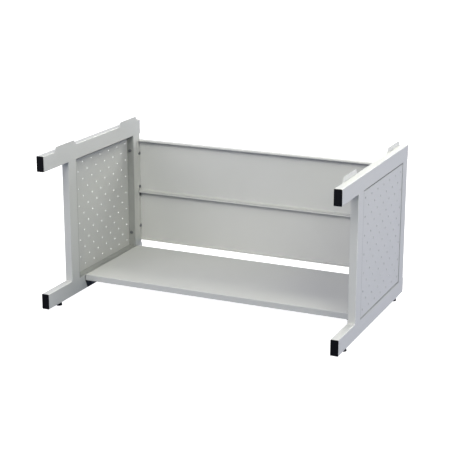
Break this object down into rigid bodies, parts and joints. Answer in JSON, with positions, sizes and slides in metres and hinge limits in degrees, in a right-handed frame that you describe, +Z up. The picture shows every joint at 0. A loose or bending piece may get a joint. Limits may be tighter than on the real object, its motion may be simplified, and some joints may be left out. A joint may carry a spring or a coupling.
{
  "type": "file rack stand",
  "caption": "Free-standing steel rack with perforated side frames, back panels, a low shelf, locating tabs on the top rails and levelling feet.",
  "frame": {"origin": "on the floor under the middle of the rack, at the middle of its bounding box", "axes": "+X to the right seen from the front, +Y to the back, +Z up"},
  "size_m": [1, 0.636, 0.527],
  "materials": {
    "frame_paint": "light grey powder coat, fine texture",
    "panel_paint": "light grey powder coat, smooth",
    "black_plastic": "moulded black polyethylene",
    "black_steel": "black coated steel angle",
    "zinc_steel": "bright zinc plate"
  },
  "bodies": {
    "rack": {"left_back_panel_rivet_nuts": "zinc_steel", "left_back_panel_screws": "zinc_steel", "left_bottom_front_plug": "black_plastic", "left_bottom_rail": "frame_paint", "left_bottom_rear_plug": "black_plastic", "left_bracket_rivet_nuts": "zinc_steel", "left_bracket_screws": "zinc_steel", "left_front_foot_insert": "zinc_steel", "left_front_locating_tab": "frame_paint", "left_front_post": "frame_paint", "left_rear_foot_insert": "zinc_steel", "left_rear_locating_tab": "frame_paint", "left_rear_post": "frame_paint", "left_shelf_bracket": "black_steel", "left_shelf_nuts": "zinc_steel", "left_shelf_screws": "zinc_steel", "left_side_panel": "panel_paint", "left_side_panel_rivet_nuts": "zinc_steel", "left_side_panel_screws": "zinc_steel", "left_top_front_plug": "black_plastic", "left_top_rail": "frame_paint", "left_top_rear_plug": "black_plastic", "lower_back_panel": "panel_paint", "right_back_panel_rivet_nuts": "zinc_steel", "right_back_panel_screws": "zinc_steel", "right_bottom_front_plug": "black_plastic", "right_bottom_rail": "frame_paint", "right_bottom_rear_plug": "black_plastic", "right_bracket_rivet_nuts": "zinc_steel", "right_bracket_screws": "zinc_steel", "right_front_foot_insert": "zinc_steel", "right_front_locating_tab": "frame_paint", "right_front_post": "frame_paint", "right_rear_foot_insert": "zinc_steel", "right_rear_locating_tab": "frame_paint", "right_rear_post": "frame_paint", "right_shelf_bracket": "black_steel", "right_shelf_nuts": "zinc_steel", "right_shelf_screws": "zinc_steel", "right_side_panel": "panel_paint", "right_side_panel_rivet_nuts": "zinc_steel", "right_side_panel_screws": "zinc_steel", "right_top_front_plug": "black_plastic", "right_top_rail": "frame_paint", "right_top_rear_plug": "black_plastic", "shelf": "panel_paint", "upper_back_panel": "panel_paint"},
    "left_front_foot_pad": {"left_front_foot_pad": "black_plastic"},
    "left_front_foot_stud": {"left_front_foot_stud": "zinc_steel"},
    "left_rear_foot_pad": {"left_rear_foot_pad": "black_plastic"},
    "left_rear_foot_stud": {"left_rear_foot_stud": "zinc_steel"},
    "right_front_foot_pad": {"right_front_foot_pad": "black_plastic"},
    "right_front_foot_stud": {"right_front_foot_stud": "zinc_steel"},
    "right_rear_foot_pad": {"right_rear_foot_pad": "black_plastic"},
    "right_rear_foot_stud": {"right_rear_foot_stud": "zinc_steel"}
  },
  "joints": [
    {"name": "left_front_foot_slide", "type": "slide", "parent": "rack", "child": "left_front_foot_pad", "axis": [0, 0, -1], "range_m": [0, 0.01]},
    {"name": "left_front_foot_turn", "type": "hinge", "parent": "left_front_foot_pad", "child": "left_front_foot_stud", "pos_m": [-0.4875, -0.235, 0.012], "axis": [0, 0, 1], "range_deg": [0, 2880]},
    {"name": "left_rear_foot_slide", "type": "slide", "parent": "rack", "child": "left_rear_foot_pad", "axis": [0, 0, -1], "range_m": [0, 0.01]},
    {"name": "left_rear_foot_turn", "type": "hinge", "parent": "left_rear_foot_pad", "child": "left_rear_foot_stud", "pos_m": [-0.4875, 0.255, 0.012], "axis": [0, 0, 1], "range_deg": [0, 2880]},
    {"name": "right_front_foot_slide", "type": "slide", "parent": "rack", "child": "right_front_foot_pad", "axis": [0, 0, -1], "range_m": [0, 0.01]},
    {"name": "right_front_foot_turn", "type": "hinge", "parent": "right_front_foot_pad", "child": "right_front_foot_stud", "pos_m": [0.4875, -0.235, 0.012], "axis": [0, 0, 1], "range_deg": [0, 2880]},
    {"name": "right_rear_foot_slide", "type": "slide", "parent": "rack", "child": "right_rear_foot_pad", "axis": [0, 0, -1], "range_m": [0, 0.01]},
    {"name": "right_rear_foot_turn", "type": "hinge", "parent": "right_rear_foot_pad", "child": "right_rear_foot_stud", "pos_m": [0.4875, 0.255, 0.012], "axis": [0, 0, 1], "range_deg": [0, 2880]}
  ],
  "couplings": [
    {"joint": "left_front_foot_turn", "follows": "left_front_foot_slide", "rad_per_m": 5026.5},
    {"joint": "left_rear_foot_turn", "follows": "left_rear_foot_slide", "rad_per_m": 5026.5},
    {"joint": "right_front_foot_turn", "follows": "right_front_foot_slide", "rad_per_m": 5026.5},
    {"joint": "right_rear_foot_turn", "follows": "right_rear_foot_slide", "rad_per_m": 5026.5}
  ]
}
